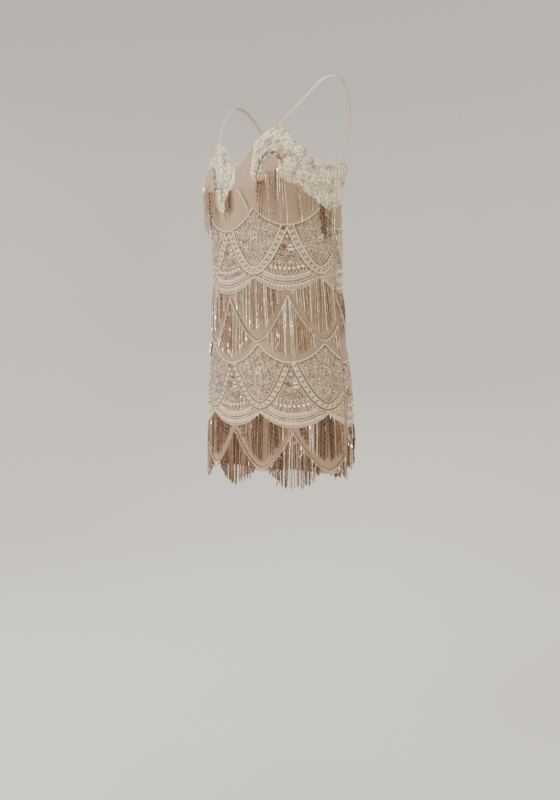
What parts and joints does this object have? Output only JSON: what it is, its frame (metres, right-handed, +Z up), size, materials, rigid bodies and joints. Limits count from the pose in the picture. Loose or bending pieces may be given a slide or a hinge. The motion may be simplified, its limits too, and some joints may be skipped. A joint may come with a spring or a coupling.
{
  "type": "camisole dress",
  "caption": "Short straight camisole dress with a V neck, narrow shoulder straps, corded lace over the cups, scalloped bead embroidery and tiers of bead fringe.",
  "frame": {"origin": "midway between the tops of the two shoulder straps, at their underside", "axes": "+Z up, the front of the dress faces -Y, +X is the wearer's left"},
  "size_m": [0.3381, 0.2379, 0.7751],
  "materials": {
    "tulle": "nude tulle over a matt nude lining",
    "satin": "soft satin",
    "corded_lace": "matt corded lace with small pearls",
    "bead_embroidery": "glossy seed beads, bugle beads and pearls on tulle",
    "bead_fringe": "glossy rose gold bugle beads"
  },
  "bodies": {
    "root": {"front_panel": "tulle", "back_panel": "tulle", "strap_left": "satin", "strap_right": "satin", "lace_left": "corded_lace", "lace_right": "corded_lace", "lace_back": "corded_lace", "bust_fringe_left": "bead_fringe", "bust_fringe_right": "bead_fringe", "upper_bands_front": "bead_embroidery", "upper_fringe_front": "bead_fringe", "lower_bands_front": "bead_embroidery", "lower_fringe_front": "bead_fringe", "upper_swag_front": "bead_fringe", "hem_swag_front": "bead_fringe", "upper_bands_back": "bead_embroidery", "upper_fringe_back": "bead_fringe", "lower_bands_back": "bead_embroidery", "lower_fringe_back": "bead_fringe", "upper_swag_back": "bead_fringe", "hem_swag_back": "bead_fringe"}
  },
  "joints": []
}
